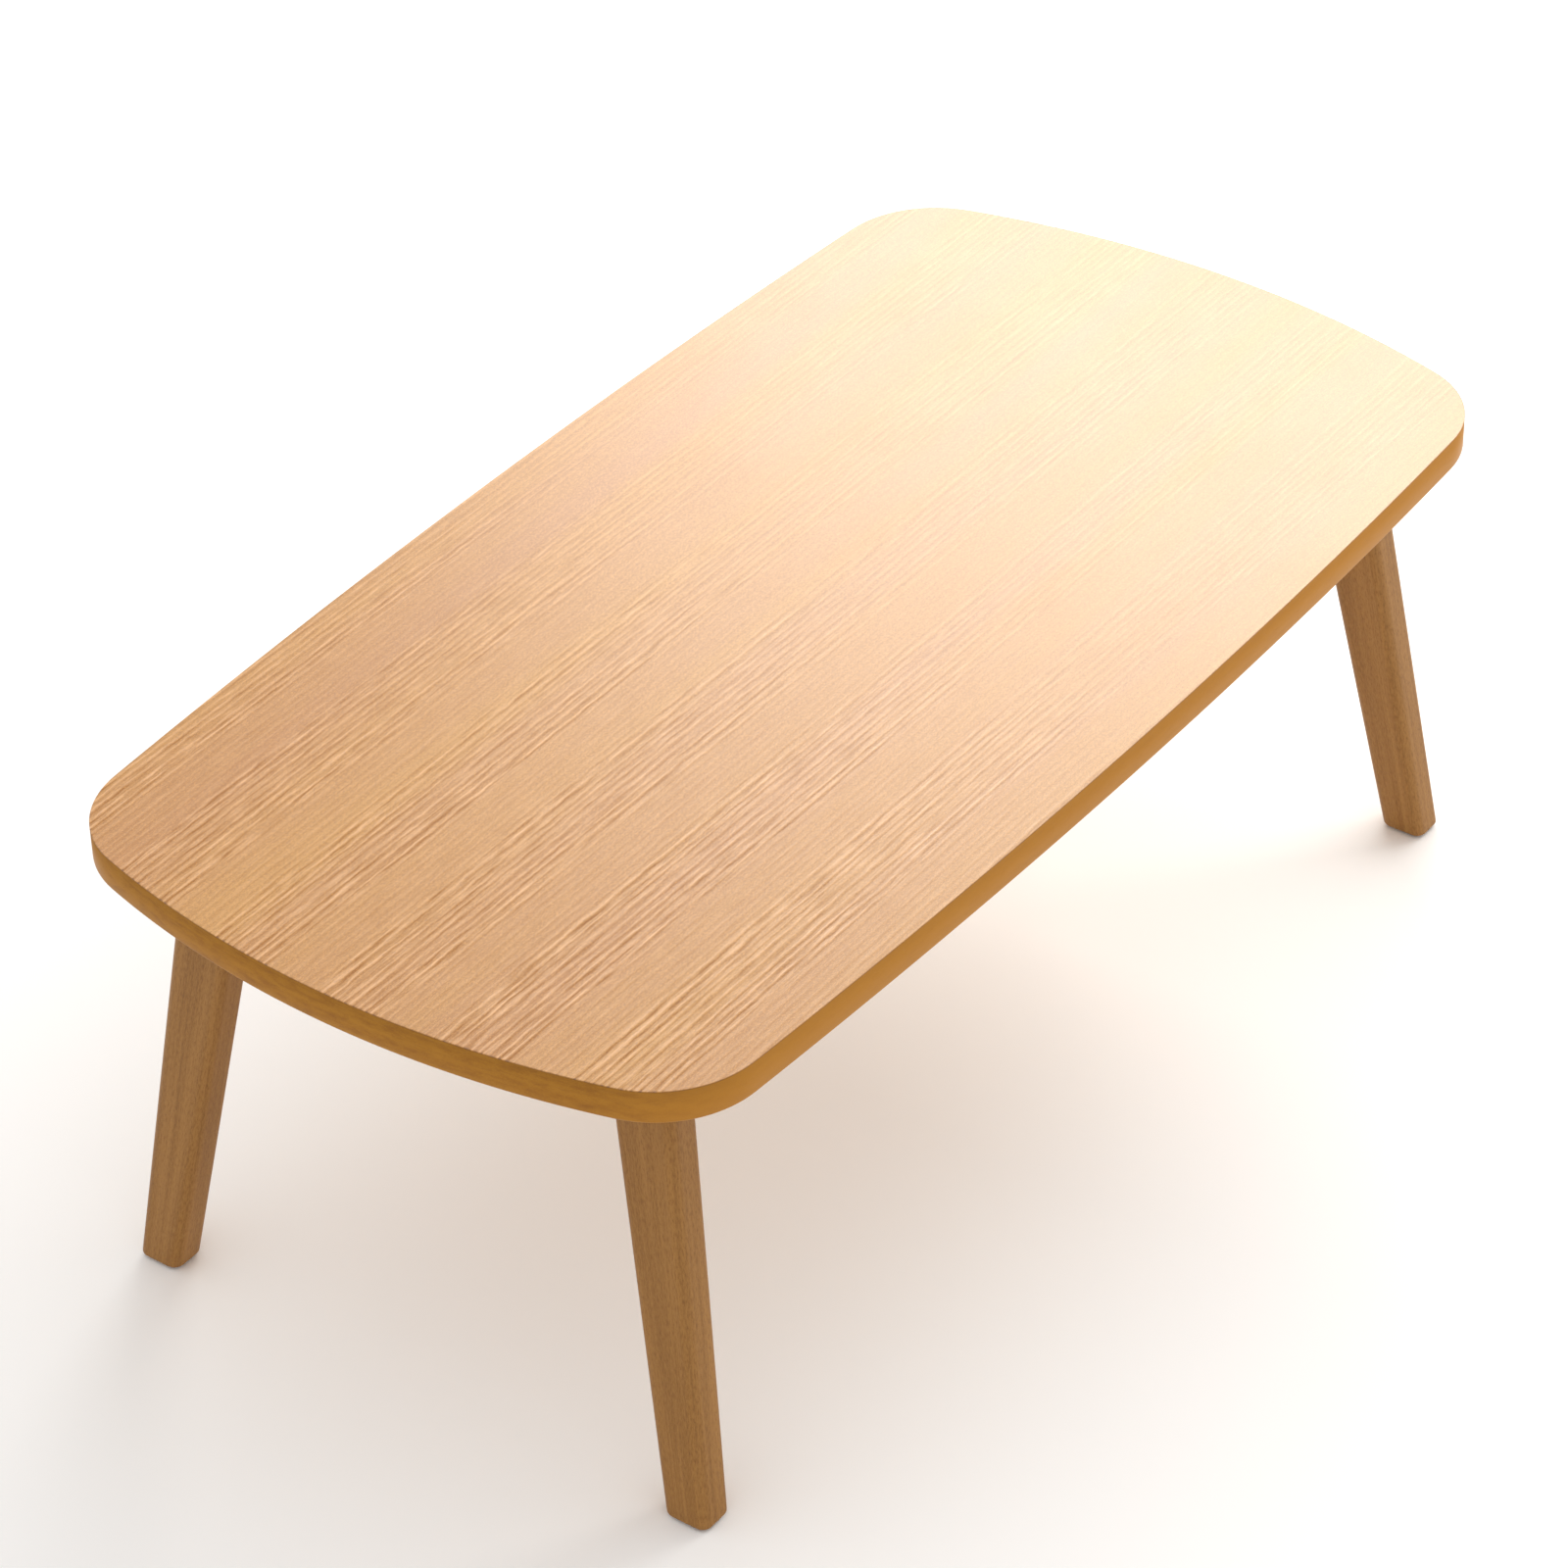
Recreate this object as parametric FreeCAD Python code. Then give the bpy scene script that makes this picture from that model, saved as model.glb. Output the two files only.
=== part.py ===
"""Low oblong coffee table: a bowed, veneered top on four splayed, tapered wooden legs.

Units are millimetres. The origin is on the floor under the middle of the table, +Z is up, X runs along
the length and Y along the width. Left is -X and front is -Y.
"""
import FreeCAD, Part
import math
import os

Vector = FreeCAD.Vector
UP = Vector(0, 0, 1)

# Overall sizes
table_length = 1200.0
table_width = 632.0
table_height = 435.0

# Outline of the top: four bowed sides and four round corners, each arc tangent to the next
long_side_bow = 22.0
end_bow = 60.0
corner_radius = 90.0

# Layers of the top, from the floor side up, and the strip of solid wood round its edge
backing_thickness = 0.8
core_thickness = 28.4
veneer_thickness = 0.8
veneer_edge_break = 0.3
lipping_thickness = 4.0
lipping_round = 2.5

# Leg, a tapered stick that leans out both ways; its sizes are along X (thick) and along Y (wide)
leg_head_from_end = 119.5
leg_head_from_side = 116.0
leg_splay_x_degrees = 6.05
leg_splay_y_degrees = 8.75
leg_head_thick = 34.0
leg_head_wide = 59.0
leg_foot_thick = 33.5
leg_foot_wide = 40.5
leg_edge_radius = 9.0
leg_foot_round = 3.5
leg_foot_round_steps = 2

# Foot pad
pad_thickness = 2.0
pad_inset = 4.5
pad_edge_bevel = 0.5

# Steel plate on the head of each leg
plate_thickness = 2.5
plate_rim = 11.0
plate_corner_radius = 8.0

# Pan-head wood screws that hold the plate under the top
plate_screw_spacing_x = 60.0
plate_screw_spacing_y = 48.0
plate_screw_radius = 2.0
plate_screw_length = 20.0
plate_screw_head_radius = 4.2
plate_screw_head_height = 2.4
plate_hole_clearance = 0.3

# Countersunk wood screws that hold the plate on the leg; the head is as high as the plate is thick
leg_screw_spacing = 28.0
leg_screw_radius = 2.5
leg_screw_length = 50.0
leg_screw_head_radius = 4.8

# Holes in the wood for both kinds of screw
pilot_spare_depth = 1.5
pilot_clearance = 0.02

# One overrun serves every cutting tool
overrun = 1.0

# Heights that follow from the layers
veneer_z = table_height - veneer_thickness
core_z = veneer_z - core_thickness
underside_z = core_z - backing_thickness
leg_head_z = underside_z - plate_thickness
leg_height = leg_head_z - pad_thickness

# Where the legs stand: name, side along X, side along Y
LEGS = (
    ("front_left", -1, -1),
    ("front_right", 1, -1),
    ("back_left", -1, 1),
    ("back_right", 1, 1),
)


def save(name, *solids):
    """Write one node, a single solid or a group of separate ones."""
    shape = solids[0] if len(solids) == 1 else Part.makeCompound(list(solids))
    shape.exportStep(os.path.join("parts", name + ".step"))
    volume = sum(solid.Volume for solid in shape.Solids)
    print(f"{name}: {len(shape.Solids)} solid(s), {volume:.0f} mm3, valid {shape.isValid()}")


def arc_radius(half_chord, bow):
    """Radius of an arc that rises by bow over its half chord."""
    return (half_chord ** 2 + bow ** 2) / (2 * bow)


def arc(centre, radius, start, end):
    """Short way round a circle from the direction of start to that of end."""
    from_centre = (start - centre).normalize()
    to_centre = (end - centre).normalize()
    middle = (from_centre + to_centre).normalize()
    return Part.Arc(
        centre + from_centre * radius, centre + middle * radius, centre + to_centre * radius
    ).toShape()


def top_outline(inset, z):
    """Closed wire of the top's outline at height z, moved in by inset along its normal."""
    half_length = table_length / 2
    half_width = table_width / 2
    long_radius = arc_radius(half_length, long_side_bow)
    end_radius = arc_radius(half_width, end_bow)
    long_centre = Vector(0, half_width - long_radius, 0)
    end_centre = Vector(half_length - end_radius, 0, 0)

    # The corner's centre is where two circles cross, each smaller than its side's by the corner radius
    between = end_centre - long_centre
    apart = between.Length
    long_reach = long_radius - corner_radius
    end_reach = end_radius - corner_radius
    along = (long_reach ** 2 - end_reach ** 2 + apart ** 2) / (2 * apart)
    across = math.sqrt(long_reach ** 2 - along ** 2)
    step = between.normalize()
    corner_centre = long_centre + step * along + Vector(step.y, -step.x, 0) * across
    long_tangent = corner_centre + (corner_centre - long_centre).normalize() * corner_radius
    end_tangent = corner_centre + (corner_centre - end_centre).normalize() * corner_radius

    def placed(point, sx, sy):
        return Vector(point.x * sx, point.y * sy, z)

    edges = []
    corners = ((1, 1), (1, -1), (-1, -1), (-1, 1))
    for (sx, sy), (next_sx, next_sy) in zip(corners, corners[1:] + corners[:1]):
        # Each turn of the loop makes one corner and the side that follows it, clockwise from above
        if sx == sy:
            first, last, side_centre, side_radius = long_tangent, end_tangent, end_centre, end_radius
        else:
            first, last, side_centre, side_radius = end_tangent, long_tangent, long_centre, long_radius
        start, turn, finish = placed(first, sx, sy), placed(last, sx, sy), placed(last, next_sx, next_sy)
        edges.append(arc(placed(corner_centre, sx, sy), corner_radius - inset, start, turn))
        edges.append(arc(placed(side_centre, sx, sy), side_radius - inset, turn, finish))
    return Part.Wire(edges)


def slab(inset, z, thickness):
    """The top's outline as a flat board."""
    return Part.Face(top_outline(inset, z)).extrude(UP * thickness)


def rounded_rectangle(centre, size_x, size_y, radius):
    """Closed wire with four straight sides and four round corners, centred on a point."""
    half_x = size_x / 2 - radius
    half_y = size_y / 2 - radius
    edges = []
    corners = ((1, 1), (-1, 1), (-1, -1), (1, -1))
    for index, (sx, sy) in enumerate(corners):
        next_sx, next_sy = corners[(index + 1) % len(corners)]
        middle = centre + Vector(sx * half_x, sy * half_y, 0)
        start_turn = Vector(sx, 0, 0) if sx == sy else Vector(0, sy, 0)
        end_turn = Vector(0, sy, 0) if sx == sy else Vector(sx, 0, 0)
        edges.append(arc(middle, radius, middle + start_turn, middle + end_turn))
        next_middle = centre + Vector(next_sx * half_x, next_sy * half_y, 0)
        edges.append(
            Part.makeLine(middle + end_turn * radius, next_middle + end_turn * radius)
        )
    return Part.Wire(edges)


def leg_centre(sx, sy, z):
    """Middle of the leg's section at height z; the leg leans out from its head to its foot."""
    drop = leg_head_z - z
    out_x = table_length / 2 - leg_head_from_end + drop * math.tan(math.radians(leg_splay_x_degrees))
    out_y = table_width / 2 - leg_head_from_side + drop * math.tan(math.radians(leg_splay_y_degrees))
    return Vector(sx * out_x, sy * out_y, z)


def leg_section(sx, sy, z, inset):
    """Wire of the leg's section at height z, moved in by inset."""
    down_share = (leg_head_z - z) / leg_height
    thick = leg_head_thick + (leg_foot_thick - leg_head_thick) * down_share
    wide = leg_head_wide + (leg_foot_wide - leg_head_wide) * down_share
    return rounded_rectangle(
        leg_centre(sx, sy, z), thick - 2 * inset, wide - 2 * inset, leg_edge_radius - inset
    )


def plate_screw_places(sx, sy):
    """Four points on the underside, one for each screw of a leg's plate."""
    head = leg_centre(sx, sy, leg_head_z)
    return [
        Vector(
            head.x + ix * plate_screw_spacing_x / 2,
            head.y + iy * plate_screw_spacing_y / 2,
            underside_z,
        )
        for ix in (-1, 1)
        for iy in (-1, 1)
    ]


def leg_screw_places(sx, sy):
    """Two points on the plate's upper face, one for each wood screw into the leg's head."""
    head = leg_centre(sx, sy, leg_head_z)
    return [Vector(head.x, head.y + iy * leg_screw_spacing / 2, underside_z) for iy in (-1, 1)]


def drilled(board, mouth_z, depth):
    """A board with a hole from below for each screw of the plates."""
    holes = [
        Part.makeCylinder(
            plate_screw_radius + pilot_clearance, depth + overrun, Vector(p.x, p.y, mouth_z - overrun), UP
        )
        for _, sx, sy in LEGS
        for p in plate_screw_places(sx, sy)
    ]
    return board.cut(holes)


def top_core():
    """Board that carries the top, with a blind hole for each screw of the plates."""
    depth = plate_screw_length - plate_thickness - backing_thickness + pilot_spare_depth
    return drilled(slab(lipping_thickness, core_z, core_thickness), core_z, depth)


def backing_veneer():
    """Thin balancing sheet under the core, drilled with it."""
    sheet = slab(lipping_thickness, underside_z, backing_thickness)
    return drilled(sheet, underside_z, backing_thickness + overrun)


def top_veneer():
    """Show face, which runs out over the lipping to the very edge, its sharp rim just broken."""
    sheet = slab(0, veneer_z, veneer_thickness)
    rim = [e for e in sheet.Edges if e.BoundBox.ZMin > veneer_z + veneer_thickness / 2]
    return sheet.makeChamfer(veneer_edge_break, rim)


def edge_lipping():
    """Strip of solid wood round the core, under the show face, its lower outer edge rounded."""
    height = veneer_z - underside_z
    outer = slab(0, underside_z, height)
    lower_rim = [e for e in outer.Edges if e.BoundBox.ZMax < underside_z + height / 2]
    outer = outer.makeFillet(lipping_round, lower_rim)
    return outer.cut(slab(lipping_thickness, underside_z - overrun, height + 2 * overrun))


def leg(sx, sy):
    """Leaning, tapered leg with a rounded foot, and pilot holes for the wood screws in its head."""
    wires = []
    for step in range(leg_foot_round_steps + 1):
        turn = math.pi / 2 * step / leg_foot_round_steps
        z = pad_thickness + leg_foot_round * (1 - math.cos(turn))
        wires.append(leg_section(sx, sy, z, leg_foot_round * (1 - math.sin(turn))))
    wires.append(leg_section(sx, sy, leg_head_z, 0))
    stick = Part.makeLoft(wires, True, True)
    depth = leg_screw_length - plate_thickness + pilot_spare_depth
    pilots = [
        Part.makeCylinder(
            leg_screw_radius + pilot_clearance,
            depth + overrun,
            Vector(p.x, p.y, leg_head_z + overrun),
            UP * -1,
        )
        for p in leg_screw_places(sx, sy)
    ]
    return stick.cut(pilots)


def foot_pad(sx, sy):
    """Flat pad under the foot, set in from the leg's faces."""
    wire = leg_section(sx, sy, pad_thickness, pad_inset)
    wire.translate(UP * -pad_thickness)
    pad = Part.Face(wire).extrude(UP * pad_thickness)
    floor_rim = [e for e in pad.Edges if e.BoundBox.ZMax < pad_thickness / 2]
    return pad.makeChamfer(pad_edge_bevel, floor_rim)


def revolved(points):
    """Solid of revolution about Z from a half outline that starts and ends on the axis."""
    return Part.Face(Part.makePolygon(points + points[:1])).revolve(Vector(0, 0, 0), UP, 360)


def leg_screw():
    """Countersunk wood screw; height zero is the top of its head, the shank points down."""
    return revolved(
        [
            Vector(0, 0, 0),
            Vector(leg_screw_head_radius, 0, 0),
            Vector(leg_screw_radius, 0, -plate_thickness),
            Vector(leg_screw_radius, 0, -leg_screw_length),
            Vector(0, 0, -leg_screw_length),
        ]
    )


def plate_screw():
    """Pan-head wood screw; height zero is under its head, the shank points up."""
    return revolved(
        [
            Vector(0, 0, -plate_screw_head_height),
            Vector(plate_screw_head_radius, 0, -plate_screw_head_height),
            Vector(plate_screw_head_radius, 0, 0),
            Vector(plate_screw_radius, 0, 0),
            Vector(plate_screw_radius, 0, plate_screw_length),
            Vector(0, 0, plate_screw_length),
        ]
    )


def leg_plate(sx, sy):
    """Flat plate with four clearance holes for its own screws and two countersunk seats for the leg's."""
    wire = rounded_rectangle(
        leg_centre(sx, sy, leg_head_z),
        plate_screw_spacing_x + 2 * plate_rim,
        plate_screw_spacing_y + 2 * plate_rim,
        plate_corner_radius,
    )
    plate = Part.Face(wire).extrude(UP * plate_thickness)
    holes = [
        Part.makeCylinder(
            plate_screw_radius + plate_hole_clearance,
            plate_thickness + 2 * overrun,
            Vector(p.x, p.y, leg_head_z - overrun),
            UP,
        )
        for p in plate_screw_places(sx, sy)
    ]
    return plate.cut(holes + copies(leg_screw(), leg_screw_places(sx, sy)))


def copies(shape, places):
    """One copy of a shape at each place."""
    made = []
    for place in places:
        copy = shape.copy()
        copy.translate(place)
        made.append(copy)
    return made


def main():
    os.makedirs("parts", exist_ok=True)
    save("top_core", top_core())
    save("top_veneer", top_veneer())
    save("backing_veneer", backing_veneer())
    save("edge_lipping", edge_lipping())
    for name, sx, sy in LEGS:
        save("leg_" + name, leg(sx, sy))
        save("foot_pad_" + name, foot_pad(sx, sy))
        save("leg_plate_" + name, leg_plate(sx, sy))
        save("leg_screws_" + name, *copies(leg_screw(), leg_screw_places(sx, sy)))
        under_plate = [p - UP * plate_thickness for p in plate_screw_places(sx, sy)]
        save("plate_screws_" + name, *copies(plate_screw(), under_plate))


main()
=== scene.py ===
import bmesh
import bpy
import math
import numpy as np
from mathutils import Matrix, Vector


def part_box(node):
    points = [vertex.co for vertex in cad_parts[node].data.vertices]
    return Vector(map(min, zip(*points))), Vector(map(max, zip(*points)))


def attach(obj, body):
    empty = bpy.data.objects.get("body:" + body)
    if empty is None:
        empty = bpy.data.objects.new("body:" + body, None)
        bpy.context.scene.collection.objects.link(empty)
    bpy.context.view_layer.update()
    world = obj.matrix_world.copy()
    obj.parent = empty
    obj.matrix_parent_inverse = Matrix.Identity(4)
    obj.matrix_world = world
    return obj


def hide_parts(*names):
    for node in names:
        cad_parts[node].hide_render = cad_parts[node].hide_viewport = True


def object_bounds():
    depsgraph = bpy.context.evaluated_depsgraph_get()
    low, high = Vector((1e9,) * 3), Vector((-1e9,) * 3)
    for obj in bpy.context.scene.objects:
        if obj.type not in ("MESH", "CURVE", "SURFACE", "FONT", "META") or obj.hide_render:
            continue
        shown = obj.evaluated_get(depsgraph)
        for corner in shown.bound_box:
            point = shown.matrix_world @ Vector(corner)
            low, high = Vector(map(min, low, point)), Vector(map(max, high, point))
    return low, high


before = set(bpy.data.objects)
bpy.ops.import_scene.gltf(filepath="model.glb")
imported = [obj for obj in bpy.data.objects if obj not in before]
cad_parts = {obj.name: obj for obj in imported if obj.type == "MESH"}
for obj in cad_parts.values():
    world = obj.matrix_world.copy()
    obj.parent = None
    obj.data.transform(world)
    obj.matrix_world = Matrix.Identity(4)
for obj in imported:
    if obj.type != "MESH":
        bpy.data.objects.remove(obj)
cadLow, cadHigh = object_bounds()
mm = 0.001
print("frame loaded, box", [round(v, 4) for v in cadHigh - cadLow])

legNames = ["front_left", "front_right", "back_left", "back_right"]
veneerLow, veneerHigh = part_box("top_veneer")
lippingLow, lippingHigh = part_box("edge_lipping")


# small helpers

def newObject(name, data):
    made = bpy.data.objects.new(name, data)
    bpy.context.scene.collection.objects.link(made)
    return made


def newMesh(name, points, faces):
    mesh = bpy.data.meshes.new(name)
    mesh.from_pydata([tuple(p) for p in points], [], [tuple(f) for f in faces])
    mesh.update()
    mesh.polygons.foreach_set("use_smooth", [True] * len(mesh.polygons))
    return newObject(name, mesh)


def mapGrain(piece, spots):
    # the piece's own UV map in metres, with u along the grain
    layer = piece.data.uv_layers.new(name="grainMap")
    layer.data.foreach_set("uv", np.array(spots).ravel())


def makePlain(piece):
    # the evaluated shape becomes the piece's own mesh, and the modifiers go
    graph = bpy.context.evaluated_depsgraph_get()
    plain = bpy.data.meshes.new_from_object(
        piece.evaluated_get(graph), preserve_all_data_layers=True, depsgraph=graph)
    piece.modifiers.clear()
    plain.name = piece.data.name + "Plain"
    piece.data = plain


def dress(piece, material):
    piece.data.materials.clear()
    piece.data.materials.append(material)


def socketId(tree, label):
    # a modifier's input goes by its socket's identifier, not by its name
    for item in tree.interface.items_tree:
        if item.item_type == "SOCKET" and item.in_out == "INPUT" and item.name == label:
            return item.identifier
    raise KeyError(label)


def growFrom(piece, tree, values):
    # runs a geometry tree on the piece and keeps its result as a plain mesh
    modifier = piece.modifiers.new(tree.name, "NODES")
    modifier.node_group = tree
    for label, value in values.items():
        modifier[socketId(tree, label)] = value
    makePlain(piece)


class Wiring:
    # short way to add nodes and links in one tree
    def __init__(self, tree):
        self.tree = tree

    def add(self, kind, values=None, **settings):
        node = self.tree.nodes.new(kind)
        for key, value in settings.items():
            setattr(node, key, value)
        for key, value in (values or {}).items():
            self.give(node.inputs[key], value)
        return node

    def give(self, socket, value):
        if isinstance(value, bpy.types.NodeSocket):
            self.tree.links.new(value, socket)
        else:
            socket.default_value = value

    def math(self, operation, first, second=0.0):
        return self.add("ShaderNodeMath", {0: first, 1: second}, operation=operation).outputs[0]

    def plus(self, first, second):
        return self.math("ADD", first, second)

    def minus(self, first, second):
        return self.math("SUBTRACT", first, second)

    def times(self, first, second):
        return self.math("MULTIPLY", first, second)

    def axis(self, vector, number):
        return self.add("ShaderNodeSeparateXYZ", {0: vector}).outputs[number]

    def joined(self, **axes):
        values = {"xyz".index(axis): value for axis, value in axes.items()}
        return self.add("ShaderNodeCombineXYZ", values).outputs[0]

    def scaled(self, vector, factors):
        node = self.add("ShaderNodeVectorMath", {0: vector, 1: factors}, operation="MULTIPLY")
        return node.outputs[0]

    def stretch(self, value, low, high, toLow=0.0, toHigh=1.0):
        # a range in the dictionaries is low, high and, where it isn't 0 and 1, what comes out
        ends = {0: value, 1: low, 2: high, 3: toLow, 4: toHigh}
        return self.add("ShaderNodeMapRange", ends, clamp=True).outputs[0]

    def noise(self, vector, scale, detail=3.0, rough=0.5):
        values = {"Vector": vector, "Scale": scale, "Detail": detail, "Roughness": rough}
        return self.add("ShaderNodeTexNoise", values).outputs[0]

    def mix(self, factor, first, second):
        node = self.add("ShaderNodeMix", data_type="RGBA", blend_type="MIX", clamp_factor=True)
        for socket, value in ((0, factor), (6, first), (7, second)):
            self.give(node.inputs[socket], value)
        return node.outputs[2]

    def tint(self, colour, other, mask, span):
        # span is where the mask starts to act, where it acts most, and how much it then does
        low, high, most = span
        return self.mix(self.stretch(mask, low, high, 0.0, most), colour, other)

    def fleck(self, colour, mask, spread, pale, dark):
        # spread is how far from the middle the flecks are full, and how strong pale and dark are
        reach, palest, darkest = spread
        colour = self.tint(colour, pale, mask, (0.5, 0.5 + reach, palest))
        return self.tint(colour, dark, mask, (0.5, 0.5 - reach, darkest))

    def finish(self, shader, colour, rough, height, strength, distance):
        self.give(shader.inputs["Base Color"], colour)
        self.give(shader.inputs["Roughness"], rough)
        bump = self.add("ShaderNodeBump",
                        {"Height": height, "Strength": strength, "Distance": distance})
        self.give(shader.inputs["Normal"], bump.outputs[0])


def newGroup(name, inputs, outputs, treeKind="ShaderNodeTree"):
    # inputs are (label, socket kind, default), outputs are (label, socket kind)
    tree = bpy.data.node_groups.new(name, treeKind)
    for label, kind, default in inputs:
        socket = tree.interface.new_socket(name=label, in_out="INPUT", socket_type=kind)
        if default is not None:
            socket.default_value = default
    for label, kind in outputs:
        tree.interface.new_socket(name=label, in_out="OUTPUT", socket_type=kind)
    return Wiring(tree), tree.nodes.new("NodeGroupInput"), tree.nodes.new("NodeGroupOutput")


def endTree(wires, inside, outside, node):
    # every geometry tree ends in real geometry with its finish on
    whole = wires.add("GeometryNodeRealizeInstances", {"Geometry": node.outputs[0]})
    done = wires.add("GeometryNodeSetMaterial",
                     {"Geometry": whole.outputs[0], "Material": inside.outputs["Finish"]})
    wires.give(outside.inputs[0], done.outputs[0])


def newMaterial(name, **shaderValues):
    material = bpy.data.materials.new(name)
    material.use_nodes = True
    shader = material.node_tree.nodes["Principled BSDF"]
    for label, value in shaderValues.items():
        shader.inputs[label.replace("_", " ")].default_value = value
    return material, Wiring(material.node_tree), shader


def useGroup(wires, tree, **values):
    node = wires.add("ShaderNodeGroup", node_tree=tree)
    for label, value in values.items():
        wires.give(node.inputs[label.replace("_", " ")], value)
    return node


# shader groups that several finishes share

woodGrainShape = {
    "swayStretch": (2.2, 3.0, 3.0),
    "swaySize": 20.0 * mm,
    "bandStretch": (0.04, 1.0, 1.0),
    "streakStretch": (0.018, 1.0, 1.0),
    "poreStretch": (0.07, 1.0, 1.0),
    "poreScale": 1500.0,
    "poreRange": (0.62, 0.74),
    "streakHeight": 0.6,
    "poreDepth": 0.5,
}


def makeWoodGrain():
    # x of the vector runs along the grain, in metres
    shape = woodGrainShape
    wires, inside, outside = newGroup(
        "woodGrain",
        [("Vector", "NodeSocketVector", None), ("Streak Scale", "NodeSocketFloat", 260.0),
         ("Band Scale", "NodeSocketFloat", 22.0), ("Pore Amount", "NodeSocketFloat", 0.5)],
        [("Bands", "NodeSocketFloat"), ("Streaks", "NodeSocketFloat"),
         ("Pores", "NodeSocketFloat"), ("Height", "NodeSocketFloat")])
    vector = inside.outputs["Vector"]
    bend = wires.noise(wires.scaled(vector, shape["swayStretch"]), 1.0, detail=2.0)
    sway = wires.joined(y=wires.times(wires.minus(bend, 0.5), shape["swaySize"]))
    swayed = wires.add("ShaderNodeVectorMath", {0: vector, 1: sway}, operation="ADD").outputs[0]
    bands = wires.noise(wires.scaled(swayed, shape["bandStretch"]),
                        inside.outputs["Band Scale"], detail=3.0, rough=0.55)
    streaks = wires.noise(wires.scaled(swayed, shape["streakStretch"]),
                          inside.outputs["Streak Scale"], detail=4.0, rough=0.6)
    poreNoise = wires.noise(wires.scaled(swayed, shape["poreStretch"]),
                            shape["poreScale"], detail=2.0)
    pores = wires.times(wires.stretch(poreNoise, *shape["poreRange"]),
                        inside.outputs["Pore Amount"])
    rise = wires.minus(wires.times(streaks, shape["streakHeight"]),
                       wires.times(pores, shape["poreDepth"]))
    for label, value in (("Bands", bands), ("Streaks", streaks), ("Pores", pores),
                         ("Height", rise)):
        wires.give(outside.inputs[label], value)
    return wires.tree


sheenShape = {"slowScale": 9.0, "fineScale": 420.0, "fineShare": 0.25}


def makeLacquerSheen():
    # slow change of gloss over a lacquered face, with faint rubbed places
    wires, inside, outside = newGroup(
        "lacquerSheen",
        [("Vector", "NodeSocketVector", None), ("Gloss", "NodeSocketFloat", 0.4),
         ("Spread", "NodeSocketFloat", 0.08)],
        [("Roughness", "NodeSocketFloat")])
    slow = wires.noise(inside.outputs["Vector"], sheenShape["slowScale"], detail=3.0, rough=0.6)
    fine = wires.noise(inside.outputs["Vector"], sheenShape["fineScale"], detail=2.0)
    change = wires.plus(wires.minus(slow, 0.5), wires.times(fine, sheenShape["fineShare"]))
    rough = wires.plus(inside.outputs["Gloss"], wires.times(change, inside.outputs["Spread"]))
    wires.give(outside.inputs["Roughness"], rough)
    return wires.tree


rubShape = {"edgeRange": (0.99, 0.8), "breakScale": 90.0, "breakRange": (0.38, 0.7)}


def makeEdgeRub():
    # how much an edge is worn pale, from the angle between the true and a rounded normal
    wires, inside, outside = newGroup(
        "edgeRub",
        [("Vector", "NodeSocketVector", None), ("Rub Width", "NodeSocketFloat", 1.5 * mm)],
        [("Rub", "NodeSocketFloat")])
    soft = wires.add("ShaderNodeBevel", {"Radius": inside.outputs["Rub Width"]}, samples=4)
    sharp = wires.add("ShaderNodeNewGeometry").outputs["Normal"]
    dot = wires.add("ShaderNodeVectorMath", {0: soft.outputs[0], 1: sharp},
                    operation="DOT_PRODUCT").outputs["Value"]
    broken = wires.noise(inside.outputs["Vector"], rubShape["breakScale"], detail=4.0, rough=0.65)
    rub = wires.times(wires.stretch(dot, *rubShape["edgeRange"]),
                      wires.stretch(broken, *rubShape["breakRange"]))
    wires.give(outside.inputs["Rub"], rub)
    return wires.tree


woodGrain = makeWoodGrain()
lacquerSheen = makeLacquerSheen()
edgeRub = makeEdgeRub()
print("shared groups made")


# outline of the top, as points with outward normals

outlineShape = {
    "longSideBow": 22.0 * mm,
    "endBow": 60.0 * mm,
    "cornerRadius": 90.0 * mm,
    "spacing": 6.0 * mm,
}


def arcRadius(halfChord, bow):
    return (halfChord ** 2 + bow ** 2) / (2 * bow)


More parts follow.
